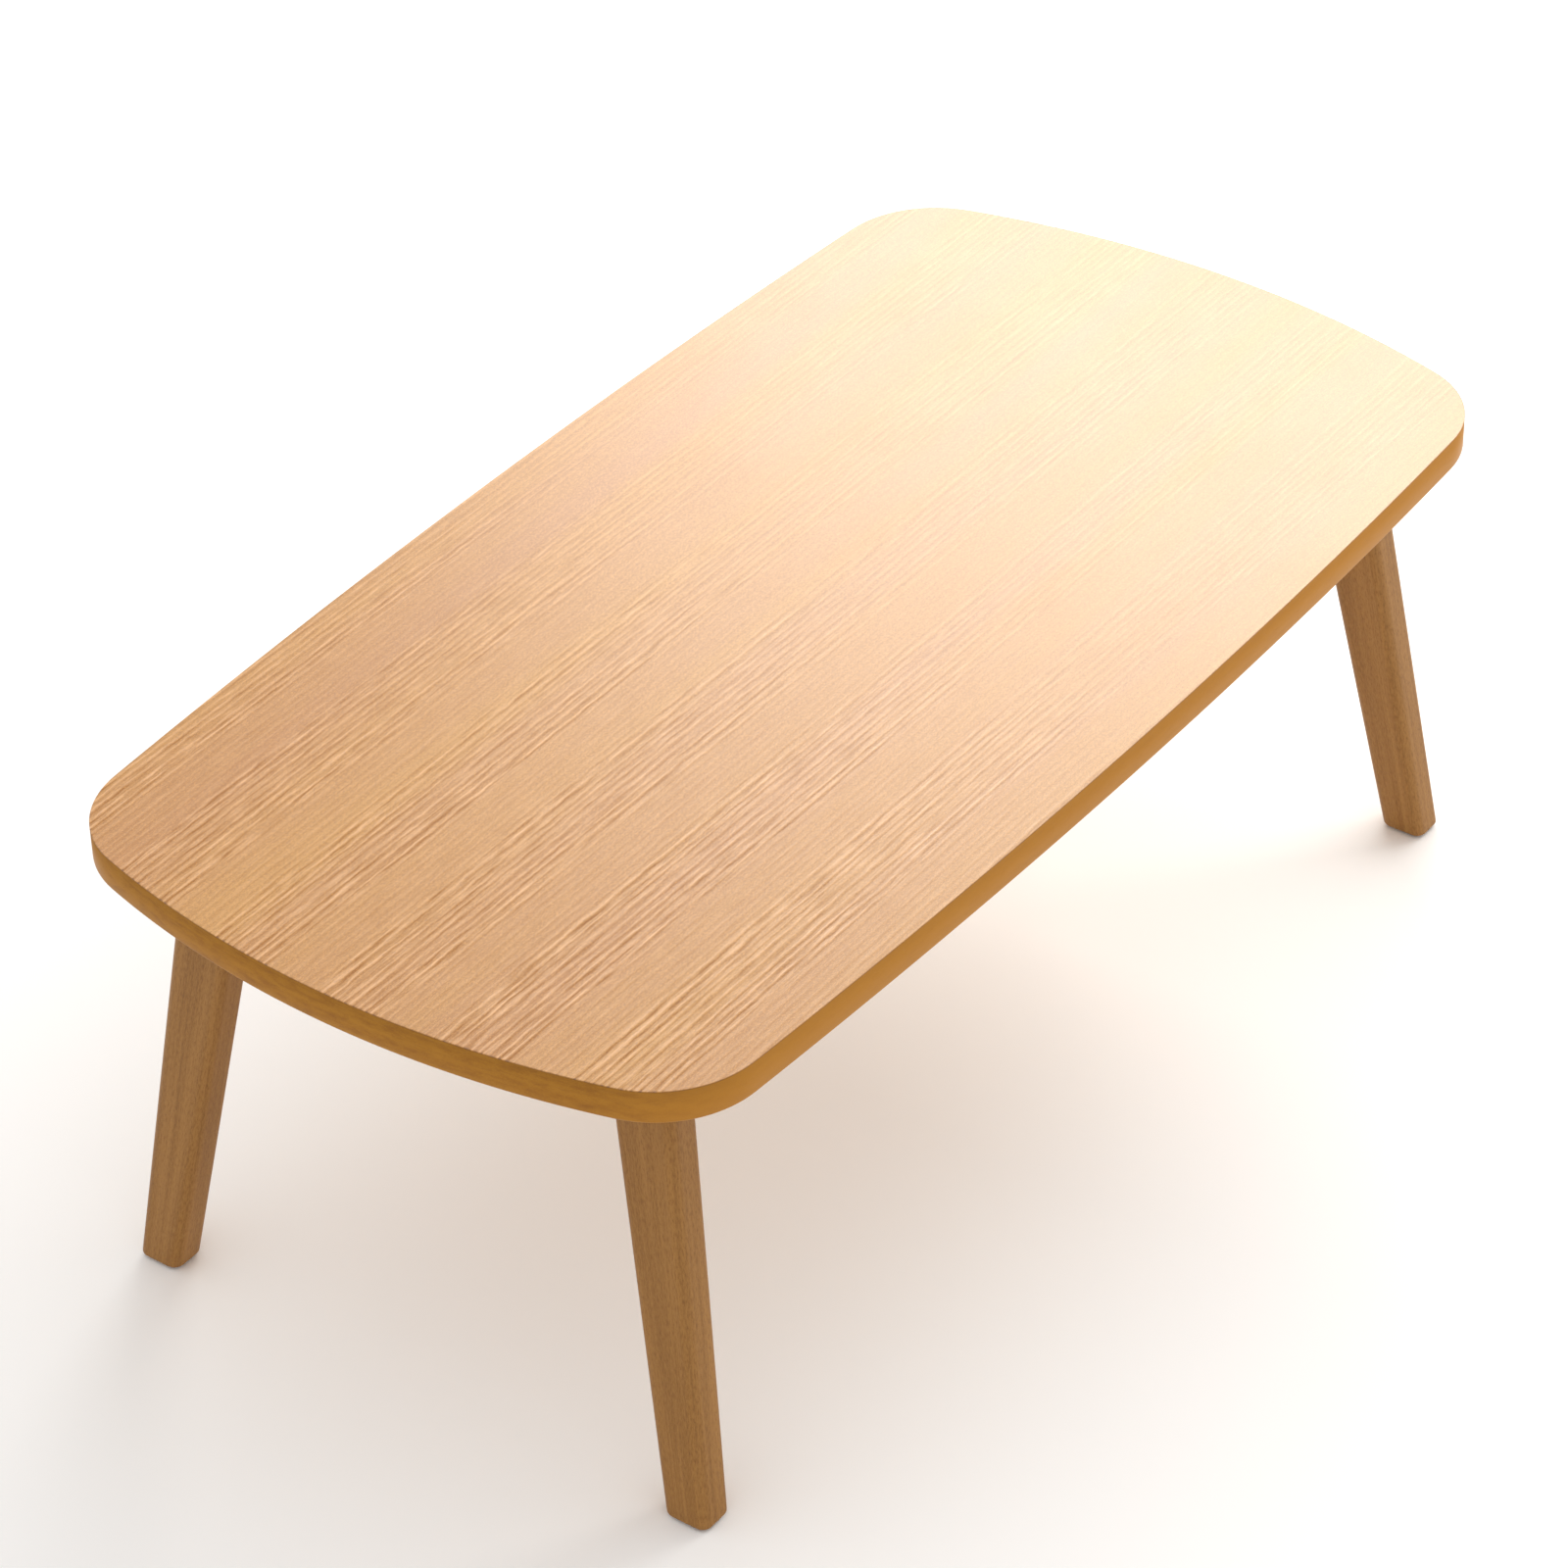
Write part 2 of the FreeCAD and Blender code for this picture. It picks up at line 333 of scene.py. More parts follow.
def topOutline():
    halfLength = (cadHigh.x - cadLow.x) / 2
    halfWidth = (cadHigh.y - cadLow.y) / 2
    longRadius = arcRadius(halfLength, outlineShape["longSideBow"])
    endRadius = arcRadius(halfWidth, outlineShape["endBow"])
    corner = outlineShape["cornerRadius"]
    longCentre = Vector((0, halfWidth - longRadius))
    endCentre = Vector((halfLength - endRadius, 0))
    # the corner's centre lies where both big arcs, moved in by the corner's radius, cross
    apart = (endCentre - longCentre).length
    step = (endCentre - longCentre).normalized()
    along = ((longRadius - corner) ** 2 - (endRadius - corner) ** 2 + apart ** 2) / (2 * apart)
    across = math.sqrt((longRadius - corner) ** 2 - along ** 2)
    cornerCentre = longCentre + step * along + Vector((step.y, -step.x)) * across
    endTurn = math.atan2(cornerCentre.y, cornerCentre.x - endCentre.x)
    longTurn = math.atan2(cornerCentre.y - longCentre.y, cornerCentre.x)
    # a quarter of it: end side up to its corner, round the corner, long side to the middle
    arcs = [(endCentre, endRadius, 0.0, endTurn), (cornerCentre, corner, endTurn, longTurn),
            (longCentre, longRadius, longTurn, math.pi / 2)]
    quarter = []
    for centre, radius, start, end in arcs:
        count = max(2, round(radius * (end - start) / outlineShape["spacing"]))
        for i in range(count):
            turn = start + (end - start) * i / count
            normal = Vector((math.cos(turn), math.sin(turn)))
            quarter.append((centre + normal * radius, normal))

    def mirrored(side, sx, sy):
        return [(Vector((sx * p.x, sy * p.y)), Vector((sx * n.x, sy * n.y)))
                for p, n in side[:0:-1]]

    middle = (Vector((0, halfWidth)), Vector((0, 1)))
    half = quarter + [middle] + mirrored(quarter, -1, 1)
    left = (Vector((-halfLength, 0)), Vector((-1, 0)))
    ring = half + [left] + mirrored(half, 1, -1)
    points = np.array([p[:] for p, _ in ring])
    normals = np.array([n[:] for _, n in ring])
    return points, normals


# show face of the top

# how high the grown rings stand: level is zero, and the strong rings run in bands with calm wood
# between them
grownRings = {
    "ringPitch": 6.5 * mm,
    "bandPeriod": 107.0 * mm,
    "bandMiddle": -22.0 * mm,
    "slowDrift": ((1.3, 2.6, 0.0), 12.0 * mm),     # change along and across, and its size
    "quickDrift": ((50.0, 130.0, 0.0), 2.9 * mm),
    "unevenScale": 62.0,
    "unevenness": 1.1,
    "lean": 0.36,
    "swellStretch": (20.0, 110.0, 0.0),
    "swellRange": (0.3, 0.7, 0.4, 1.2),
    "fineStretch": (25.0, 290.0, 0.0),
    "fineHeight": 5.2,
    "calmRange": (-0.45, 0.0, 0.3, 1.0),
    "strongRange": (0.3, 1.0, 1.12, 0.88),
    "ridgeFade": (-0.5, 0.05, 0.95, 0.1),          # from, to along the length, strength at both
    # painted: the grain colour fades toward the right end in place of the highlight washing it out
    "figureHighlightFade": (-0.5, 0.15, 0.95, 0.35),
}
ringSizes = {"Ring Pitch": "ringPitch", "Band Period": "bandPeriod", "Band Middle": "bandMiddle"}


def ringSockets():
    return [(label, "NodeSocketFloat", grownRings[size]) for label, size in ringSizes.items()]


def makeRingGroup(treeKind):
    # the same rings drive the relief, as a geometry group, and the colours, as a shader group
    wires, inside, outside = newGroup(
        "grownRings" + treeKind, [("Vector", "NodeSocketVector", None)] + ringSockets(),
        [("Ridge", "NodeSocketFloat"), ("Figure", "NodeSocketFloat")], treeKind)
    place = inside.outputs["Vector"]

    def drift(stretch, size):
        wave = wires.noise(wires.scaled(place, stretch), 1.0, detail=2.0, rough=0.45)
        return wires.times(wires.minus(wave, 0.5), size)

    slow = wires.plus(wires.axis(place, 1), drift(*grownRings["slowDrift"]))
    shifted = wires.plus(slow, drift(*grownRings["quickDrift"]))
    # neighbouring rings differ in width
    line = wires.joined(y=shifted)
    uneven = wires.minus(wires.noise(line, grownRings["unevenScale"], detail=1.0), 0.5)
    count = wires.plus(wires.math("DIVIDE", shifted, inside.outputs["Ring Pitch"]),
                       wires.times(uneven, grownRings["unevenness"]))
    turn = wires.times(count, 2 * math.pi)
    lean = wires.times(wires.math("SINE", wires.times(turn, 2.0)), grownRings["lean"])
    ring = wires.plus(wires.math("SINE", turn), lean)
    # each ring swells and thins along its length, and finer lines run between
    along = wires.axis(place, 0)
    spot = wires.joined(x=along, y=shifted)
    swell = wires.noise(wires.scaled(spot, grownRings["swellStretch"]), 1.0, detail=1.0)
    fine = wires.noise(wires.scaled(spot, grownRings["fineStretch"]), 1.0, detail=2.0, rough=0.75)
    height = wires.plus(wires.times(ring, wires.stretch(swell, *grownRings["swellRange"])),
                        wires.times(wires.minus(fine, 0.5), grownRings["fineHeight"]))
    bands = wires.math("DIVIDE", wires.minus(slow, inside.outputs["Band Middle"]),
                       inside.outputs["Band Period"])
    bandWave = wires.math("COSINE", wires.times(bands, 2 * math.pi))
    band = wires.times(wires.stretch(bandWave, *grownRings["calmRange"]),
                       wires.stretch(bandWave, *grownRings["strongRange"]))
    level = wires.times(height, band)
    # they stand out most at the left end; their colour fades less than their height, and that
    # fading colour is painted: it stands in for the highlight washing the grain out at the right
    # end
    for label, fade in (("Ridge", "ridgeFade"), ("Figure", "figureHighlightFade")):
        wires.give(outside.inputs[label],
                   wires.times(level, wires.stretch(along, *grownRings[fade])))
    return wires.tree


topFace = {
    "rowGap": 0.75 * mm,
    "columnGap": 12.0 * mm,
    "weld": 0.03 * mm,
    "rimBreak": 0.4 * mm,
    "rimBand": 2.6 * mm,
    "reliefDepth": 0.5 * mm,
    "reliefRange": (-1.2, 1.2, 1.0, 0.0),
    "notchLength": 2.2 * mm,
    "notchRange": (-1.3, 0.1, 1.0, 0.0),
    "notchFacing": (0.4, 0.8),                     # how far a rim faces the end to be notched
    "gold": (0.44, 0.19, 0.023, 1),
    "pink": (0.455, 0.187, 0.031, 1),
    "straw": (0.52, 0.243, 0.030, 1),
    "darkLine": (0.29, 0.105, 0.014, 1),
    "lightLine": (0.78, 0.37, 0.090, 1),
    "cutEdge": (0.16, 0.06, 0.015, 1),
    "pinkSpan": (0.36, 0.64, 1.0),
    "goldSpan": (0.35, 0.75, 0.5),
    "lightSpan": (0.0, 2.2, 1.0),
    "darkSpan": (0.0, -2.2, 1.0),
    "poreTint": 0.4,
    "fibreStretch": (0.4, 1.0, 1.0),
    "fibreScale": 1100.0,
    "fibreSpread": (0.25, 0.7, 0.7),
    "cutRange": (0.0, 0.9, 1.0, 0.0),
    "cutGroove": (-1.2, 0.8, 0.9, 0.1),
    "lacquerRidge": (-1.6, 1.6, 0.0, 1.0),
    "lacquerCut": (0.0, 0.9, 0.15, 1.0),
    "lacquerBands": (0.35, 0.65, 0.88, 1.0),
}


def seenFromAbove(vert):
    return vert.co.to_tuple(6)[:2]


def cutSheet(outline):
    # the flat sheet, cut into narrow rows along the grain and wider columns across it
    bm = bmesh.new()
    bm.faces.new([bm.verts.new((x, y, veneerHigh.z)) for x, y in outline])
    for normal, reach, gap in (((0, 1, 0), veneerHigh.y, topFace["rowGap"]),
                               ((1, 0, 0), veneerHigh.x, topFace["columnGap"])):
        count = int(2 * reach / gap)
        for i in range(1, count):
            spot = -reach + 2 * reach * i / count
            bmesh.ops.bisect_plane(bm, geom=bm.verts[:] + bm.edges[:] + bm.faces[:], dist=1e-7,
                                   plane_co=tuple(spot * n for n in normal), plane_no=normal)
    bmesh.ops.remove_doubles(bm, verts=bm.verts[:], dist=topFace["weld"])
    return bm


def outwardSides(bm):
    # which way the rim faces at each of its vertices
    sides = {}
    for vert in bm.verts:
        rim = [e for e in vert.link_edges if e.is_boundary]
        if rim:
            run = rim[1].other_vert(vert).co - rim[0].other_vert(vert).co
            side = Vector((run.y, -run.x, 0)).normalized()
            sides[seenFromAbove(vert)] = side if side.dot(vert.co) > 0 else -side
    return sides


def closeSheet(bm):
    # a narrow band, the broken rim, the sheet's edge and its underside close the shell
    sides = outwardSides(bm)
    loop = [e for e in bm.edges if e.is_boundary]
    outerReach = topFace["rimBand"] + topFace["rimBreak"]
    steps = ((topFace["rimBand"], veneerHigh.z), (outerReach, veneerHigh.z - topFace["rimBreak"]),
             (outerReach, veneerLow.z))
    last, bandSides = 0.0, {}
    for reach, height in steps:
        if last > 0.0:
            for edge in loop:
                edge.smooth = False
        made = bmesh.ops.extrude_edge_only(bm, edges=loop)["geom"]
        moved = {}
        for vert in (v for v in made if isinstance(v, bmesh.types.BMVert)):
            side = sides[seenFromAbove(vert)]
            vert.co += side * (reach - last)
            vert.co.z = height
            moved[seenFromAbove(vert)] = side
        sides, last = moved, reach
        bandSides = bandSides or moved
        loop = [e for e in made if isinstance(e, bmesh.types.BMEdge)]
    for edge in loop:
        edge.smooth = False
    bmesh.ops.contextual_create(bm, geom=loop)
    bmesh.ops.recalc_face_normals(bm, faces=bm.faces)
    return bandSides


def makeTopFace():
    points, normals = topOutline()
    bm = cutSheet(points - normals * (topFace["rimBreak"] + topFace["rimBand"]))
    bandSides = closeSheet(bm)
    mesh = bpy.data.meshes.new("topFace")
    bm.to_mesh(mesh)
    bm.free()
    isUpper = np.array([v.co.z > veneerHigh.z - topFace["rimBreak"] / 2 for v in mesh.vertices])
    # where the rings run out over the rim: fully at the ends, not along the sides
    runOut = np.zeros(len(mesh.vertices))
    for i in np.nonzero(isUpper)[0]:
        side = bandSides.get(seenFromAbove(mesh.vertices[i]))
        if side is not None:
            runOut[i] = np.interp(abs(side.x), topFace["notchFacing"], (0.0, 1.0))
    for name, values in (("upper", isUpper.astype(float)), ("runOut", runOut)):
        mesh.attributes.new(name, "FLOAT", "POINT").data.foreach_set("value", values)
    print("top face cut into", len(mesh.polygons), "faces")
    return newObject("topFace", mesh)


def makeReliefTree():
    # sinks the soft wood between the rings, and notches the rim where a groove runs out over it
    wires, inside, outside = newGroup(
        "reliefTree",
        [("Geometry", "NodeSocketGeometry", None),
         ("Relief Depth", "NodeSocketFloat", topFace["reliefDepth"]),
         ("Notch Length", "NodeSocketFloat", topFace["notchLength"]),
         ("Finish", "NodeSocketMaterial", None)] + ringSockets(),
        [("Geometry", "NodeSocketGeometry")], "GeometryNodeTree")
    rings = wires.add("GeometryNodeGroup", node_tree=makeRingGroup("GeometryNodeTree"))
    place = wires.add("GeometryNodeInputPosition").outputs[0]
    wires.give(rings.inputs["Vector"], place)
    for label in ringSizes:
        wires.give(rings.inputs[label], inside.outputs[label])

    def marked(name, mask):
        mark = wires.add("GeometryNodeInputNamedAttribute", {"Name": name}, data_type="FLOAT")
        return wires.times(wires.stretch(rings.outputs["Ridge"], *topFace[mask]), mark.outputs[0])

    depth = wires.times(marked("upper", "reliefRange"), inside.outputs["Relief Depth"])
    end = wires.math("SIGN", wires.axis(place, 0))
    notch = wires.times(marked("runOut", "notchRange"), inside.outputs["Notch Length"])
    drop = wires.joined(x=wires.times(wires.times(notch, end), -1.0), z=wires.times(depth, -1.0))
    moved = wires.add("GeometryNodeSetPosition",
                      {"Geometry": inside.outputs["Geometry"], "Offset": drop})
    endTree(wires, inside, outside, moved)
    return wires.tree


def faceFinish():
    material, wires, shader = newMaterial(
        "brushedFaceWood", Coat_Roughness=0.375, Coat_IOR=2.1, Specular_IOR_Level=0.45)
    place = wires.add("ShaderNodeTexCoord").outputs["Object"]
    grain = useGroup(wires, woodGrain, Vector=place, Streak_Scale=330.0, Band_Scale=14.0,
                     Pore_Amount=0.45).outputs
    sheen = useGroup(wires, lacquerSheen, Vector=place, Gloss=0.375, Spread=0.08)
    rings = useGroup(wires, makeRingGroup("ShaderNodeTree"), Vector=place).outputs
    light, dark = topFace["lightLine"], topFace["darkLine"]
    colour = wires.tint(topFace["straw"], topFace["pink"], grain["Bands"], topFace["pinkSpan"])
    colour = wires.tint(colour, topFace["gold"], grain["Streaks"], topFace["goldSpan"])
    # the hard rings are paler and shinier than the soft wood in the grooves
    colour = wires.tint(colour, light, rings["Figure"], topFace["lightSpan"])
    colour = wires.tint(colour, dark, rings["Figure"], topFace["darkSpan"])
    colour = wires.mix(wires.times(grain["Pores"], topFace["poreTint"]), colour, dark)
    fibres = wires.noise(wires.scaled(place, topFace["fibreStretch"]),
                         topFace["fibreScale"], detail=3.0, rough=0.75)
    colour = wires.fleck(colour, fibres, topFace["fibreSpread"], light, dark)
    # the sheet's cut edge is darker where a groove runs out over it
    upper = wires.add("ShaderNodeAttribute", attribute_name="upper").outputs["Fac"]
    cut = wires.times(wires.stretch(upper, *topFace["cutRange"]),
                      wires.stretch(rings["Ridge"], *topFace["cutGroove"]))
    colour = wires.mix(cut, colour, topFace["cutEdge"])
    # little lacquer stays in the grooves and on the cut edge
    lacquer = wires.times(wires.stretch(rings["Ridge"], *topFace["lacquerRidge"]),
                          wires.stretch(upper, *topFace["lacquerCut"]))
    lacquer = wires.times(lacquer, wires.stretch(grain["Bands"], *topFace["lacquerBands"]))
    wires.give(shader.inputs["Coat Weight"], lacquer)
    wires.finish(shader, colour, sheen.outputs["Roughness"], grain["Height"],
                 strength=0.35, distance=0.2 * mm)
    return material


def makeTop():
    face = makeTopFace()
    sizes = {"Relief Depth": topFace["reliefDepth"], "Notch Length": topFace["notchLength"],
             "Finish": faceFinish()}
    sizes.update({label: grownRings[size] for label, size in ringSizes.items()})
    growFrom(face, makeReliefTree(), sizes)
    face.data.polygons.foreach_set("use_smooth", [True] * len(face.data.polygons))
    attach(face, "root")
    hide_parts("top_veneer")


makeTop()
print("top face done")


# lipping round the edge

lipping = {
    "thickness": 4.0 * mm,
    "lowerRound": 2.5 * mm,
    "roundSteps": 6,
    "body": (0.345, 0.140, 0.010, 1),
    "pale": (0.40, 0.174, 0.016, 1),
    "dark": (0.24, 0.088, 0.009, 1),
    # the pale of the lower round is a painted highlight
    "rubbedAndHighlight": (0.50, 0.25, 0.055, 1),
    "side": (0.455, 0.192, 0.022, 1),
    "topDarkLine": (0.15, 0.055, 0.012, 1),
    "paleSpan": (0.35, 0.65, 1.0),
    "darkSpan": (0.45, 0.8, 0.4),
    "poreTint": 0.5,
    "speckStretch": (0.4, 1.0, 1.0),
    "speckScale": 1300.0,
    "speckSpread": (0.25, 0.5, 0.5),
    "mottleStretch": (0.3, 1.0, 1.0),
    "mottleScale": 170.0,
    "mottleSpread": (0.2, 0.8, 0.6),
    "lowerHighlightScale": 40.0,
    "lowerHighlightRange": (0.35, 0.65, 0.0, 0.4),
    "sideRange": (0.22, 0.3, 0.0, 0.75),
    "topDarkRange": (0.0, 0.8 * mm, 0.6, 0.0),
}


def lippingFinish():
    material, wires, shader = newMaterial(
        "lippingWood", Coat_Weight=0.08, Coat_Roughness=0.35, Specular_IOR_Level=0.17)
    place = wires.add("ShaderNodeUVMap", uv_map="grainMap").outputs[0]
    grain = useGroup(wires, woodGrain, Vector=place, Streak_Scale=300.0, Band_Scale=60.0,
                     Pore_Amount=0.4).outputs
    sheen = useGroup(wires, lacquerSheen, Vector=place, Gloss=0.45, Spread=0.1)
    pale, dark = lipping["pale"], lipping["dark"]
    colour = wires.tint(lipping["body"], pale, grain["Bands"], lipping["paleSpan"])
    colour = wires.tint(colour, dark, grain["Streaks"], lipping["darkSpan"])
    colour = wires.mix(wires.times(grain["Pores"], lipping["poreTint"]), colour, dark)
    speck = wires.noise(wires.scaled(place, lipping["speckStretch"]),
                        lipping["speckScale"], detail=2.0, rough=0.6)
    colour = wires.fleck(colour, speck, lipping["speckSpread"], pale, dark)
    mottle = wires.noise(wires.scaled(place, lipping["mottleStretch"]),
                         lipping["mottleScale"], detail=4.0, rough=0.65)
    colour = wires.fleck(colour, mottle, lipping["mottleSpread"], pale, dark)
    # painted highlight: the lower round is painted paler in broken patches, where it catches the
    # light
    around = wires.axis(place, 1)
    straight = lippingHigh.z - lippingLow.z - lipping["lowerRound"]
    lower = wires.stretch(around, straight, straight + lipping["lowerRound"] / 2)
    patches = wires.noise(place, lipping["lowerHighlightScale"], detail=4.0, rough=0.6)
    broken = wires.stretch(patches, *lipping["lowerHighlightRange"])
    colour = wires.mix(wires.times(lower, broken), colour, lipping["rubbedAndHighlight"])
    # the strips along the sides are paler than those round the ends
    spot = wires.axis(wires.add("ShaderNodeTexCoord").outputs["Object"], 1)
    alongSide = wires.stretch(wires.math("ABSOLUTE", spot), *lipping["sideRange"])
    colour = wires.mix(alongSide, colour, lipping["side"])
    # the strip is darker along a thin line at its top, under the face sheet
    topDarkLine = wires.stretch(around, *lipping["topDarkRange"])
    colour = wires.mix(topDarkLine, colour, lipping["topDarkLine"])
    wires.finish(shader, colour, sheen.outputs["Roughness"], grain["Height"],
                 strength=0.3, distance=0.2 * mm)
    return material


def sweepRound(name, profile):
    # profile is a closed list of (inset, height) that runs round the outline
    points, normals = topOutline()
    count, rows = len(points), len(profile)
    gaps = np.linalg.norm(np.roll(points, -1, axis=0) - points, axis=1)
    along = np.concatenate([[0.0], np.cumsum(gaps)])
    steps = [math.dist(profile[i], profile[(i + 1) % rows]) for i in range(rows)]
    around = np.concatenate([[0.0], np.cumsum(steps)])
    verts = [(*(points[i] - normals[i] * inset), height)
             for i in range(count) for inset, height in profile]
    faces, spots = [], []
    for i in range(count):
        j = (i + 1) % count
        for k in range(rows):
            m = (k + 1) % rows
            faces.append((i * rows + k, i * rows + m, j * rows + m, j * rows + k))
            spots += [(along[i], around[k]), (along[i], around[k + 1]),
                      (along[i + 1], around[k + 1]), (along[i + 1], around[k])]
    piece = newMesh(name, verts, faces)
    mapGrain(piece, spots)
    return piece


def makeLipping():
    low, high = lippingLow.z, lippingHigh.z
    profile = [(0.0, high)]
    for i in range(lipping["roundSteps"] + 1):
        turn = math.pi / 2 * i / lipping["roundSteps"]
        radius = lipping["lowerRound"]
        profile.append((radius * (1 - math.cos(turn)), low + radius * (1 - math.sin(turn))))
    profile += [(lipping["thickness"], low), (lipping["thickness"], high)]
    piece = sweepRound("lippingStrip", profile)
    dress(piece, lippingFinish())
    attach(piece, "root")
    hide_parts("edge_lipping")


makeLipping()
print("lipping done")


# legs

leg = {
    "headThick": 34.0 * mm,
    "headWide": 59.0 * mm,
    "footThick": 33.5 * mm,
    "footWide": 40.5 * mm,
    "edgeRadius": 9.0 * mm,
    "footRound": 3.5 * mm,
    "roundSteps": 5,
    "cornerSteps": 8,
    "lengthSteps": 24,
    "grainApart": 1.7,                             # each leg takes its grain from another place
    "footGrain": 0.5,
    "headGrain": 0.9,
    "body": (0.284, 0.130, 0.029, 1),
    "pale": (0.36, 0.174, 0.045, 1),
    "dark": (0.18, 0.074, 0.016, 1),
    "paleSpan": (0.35, 0.65, 1.0),
    "darkSpan": (0.42, 0.75, 0.6),
    "poreTint": 0.5,
    "speckStretch": (0.25, 1.0, 1.0),
    "speckScale": 700.0,
    "speckSpread": (0.2, 0.9, 0.9),
    "rubTint": 0.3,
}


def legFinish():
    material, wires, shader = newMaterial(
        "legWood", Coat_Weight=0.08, Coat_Roughness=0.38, Specular_IOR_Level=0.2)
    place = wires.add("ShaderNodeUVMap", uv_map="grainMap").outputs[0]
    grain = useGroup(wires, woodGrain, Vector=place, Streak_Scale=240.0, Band_Scale=70.0,
                     Pore_Amount=0.6).outputs
    sheen = useGroup(wires, lacquerSheen, Vector=place, Gloss=0.5, Spread=0.1)
    rub = useGroup(wires, edgeRub, Vector=place, Rub_Width=2.0 * mm)
    pale, dark = leg["pale"], leg["dark"]
    colour = wires.tint(leg["body"], pale, grain["Bands"], leg["paleSpan"])
    colour = wires.tint(colour, dark, grain["Streaks"], leg["darkSpan"])
    colour = wires.mix(wires.times(grain["Pores"], leg["poreTint"]), colour, dark)
    speck = wires.noise(wires.scaled(place, leg["speckStretch"]),
                        leg["speckScale"], detail=4.0, rough=0.75)
    colour = wires.fleck(colour, speck, leg["speckSpread"], pale, dark)
    colour = wires.mix(wires.times(rub.outputs["Rub"], leg["rubTint"]), colour, pale)
    wires.finish(shader, colour, sheen.outputs["Roughness"], grain["Height"],
                 strength=0.4, distance=0.3 * mm)
    return material


def roundedSection(thick, wide, radius):
    # counter-clockwise points round the section, from the +X side
    spots = []
    for quarter, (sx, sy) in enumerate(((1, 1), (-1, 1), (-1, -1), (1, -1))):
        for i in range(leg["cornerSteps"] + 1):
            turn = math.pi / 2 * (quarter + i / leg["cornerSteps"])
            spots.append((sx * (thick / 2 - radius) + radius * math.cos(turn),
                          sy * (wide / 2 - radius) + radius * math.sin(turn)))
    return spots


def legLevels(low, high):
    # heights of the sections, each with how far the foot's round takes it in
    levels = []
    for i in range(leg["roundSteps"] + 1):
        turn = math.pi / 2 * i / leg["roundSteps"]
        levels.append((low + leg["footRound"] * (1 - math.cos(turn)),
                       leg["footRound"] * (1 - math.sin(turn))))
    start, count = low + leg["footRound"], leg["lengthSteps"]
    return levels + [(start + (high - start) * i / count, 0.0) for i in range(1, count + 1)]


def makeLeg(name, index, material):
    low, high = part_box("leg_" + name)
    padLow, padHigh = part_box("foot_pad_" + name)
    plateLow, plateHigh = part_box("leg_plate_" + name)
    foot = (padLow + padHigh) / 2
    head = (plateLow + plateHigh) / 2
    levels = legLevels(low.z, high.z)
    verts, faces, spots = [], [], []
    for z, inset in levels:
        share = (high.z - z) / (high.z - low.z)
        thick = leg["headThick"] + (leg["footThick"] - leg["headThick"]) * share - 2 * inset
        wide = leg["headWide"] + (leg["footWide"] - leg["headWide"]) * share - 2 * inset
        x, y = head.x + (foot.x - head.x) * share, head.y + (foot.y - head.y) * share
        for dx, dy in roundedSection(thick, wide, leg["edgeRadius"] - inset):
            verts.append((x + dx, y + dy, z))
    section = roundedSection(leg["headThick"], leg["headWide"], leg["edgeRadius"])
    count = len(section)
    around = [0.0]
    for k in range(count):
        around.append(around[-1] + math.dist(section[k], section[(k + 1) % count]))
    offset = index * leg["grainApart"]
    for i in range(len(levels) - 1):
        a, b = i * count, (i + 1) * count
        lowAlong, highAlong = levels[i][0] + offset, levels[i + 1][0] + offset
        for k in range(count):
            m = (k + 1) % count
            faces.append((a + k, a + m, b + m, b + k))
            spots += [(lowAlong, around[k]), (lowAlong, around[k + 1]),
                      (highAlong, around[k + 1]), (highAlong, around[k])]
    last = len(verts) - count
    for end, start in ((range(count - 1, -1, -1), leg["footGrain"]),
                       (range(last, last + count), leg["headGrain"])):
        faces.append(tuple(end))
        spots += [(offset + start + verts[k][0], verts[k][1]) for k in end]
    piece = newMesh("leg_wood_" + name, verts, faces)
    mapGrain(piece, spots)
    dress(piece, material)
    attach(piece, "root")
    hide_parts("leg_" + name)


legMaterial = legFinish()
for index, name in enumerate(legNames):
    makeLeg(name, index, legMaterial)
print("legs done")


# finishes of the pieces that keep their modelled shape

def dressNodes(start, material):
    for name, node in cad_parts.items():
        if name.startswith(start):
            for slot in node.material_slots:
                slot.material = material


board = {
    "pale": (0.56, 0.38, 0.20, 1),
    "mid": (0.40, 0.25, 0.12, 1),
    "resin": (0.20, 0.12, 0.06, 1),
    "chipStretch": (1.0, 2.2, 1.6),
    "chipScale": 260.0,
    "resinSpan": (0.35, 0.7, 0.6),
    "fineScale": 900.0,
    "roughRange": (0.2, 0.8, 0.7, 0.95),
}


def boardFinish():
    # pressed wood chips in resin
    material, wires, shader = newMaterial("chipBoard")
    place = wires.add("ShaderNodeTexCoord").outputs["Object"]
    chips = wires.scaled(place, board["chipStretch"])
    cells = wires.add("ShaderNodeTexVoronoi",
                      {"Vector": chips, "Scale": board["chipScale"]}).outputs
    tone = wires.add("ShaderNodeSeparateColor", {0: cells["Color"]}).outputs[0]
    fine = wires.noise(place, board["fineScale"], detail=3.0, rough=0.6)
    colour = wires.mix(tone, board["mid"], board["pale"])
    colour = wires.tint(colour, board["resin"], cells["Distance"], board["resinSpan"])
    rough = wires.stretch(fine, *board["roughRange"])
    wires.finish(shader, colour, rough, wires.plus(tone, fine), strength=0.5, distance=0.3 * mm)
    return material


backing = {
    "pale": (0.60, 0.38, 0.19, 1),
    "mid": (0.50, 0.29, 0.13, 1),
    "dark": (0.33, 0.17, 0.07, 1),
    "paleSpan": (0.35, 0.65, 1.0),
    "darkSpan": (0.4, 0.75, 0.6),
    "poreTint": 0.6,
}


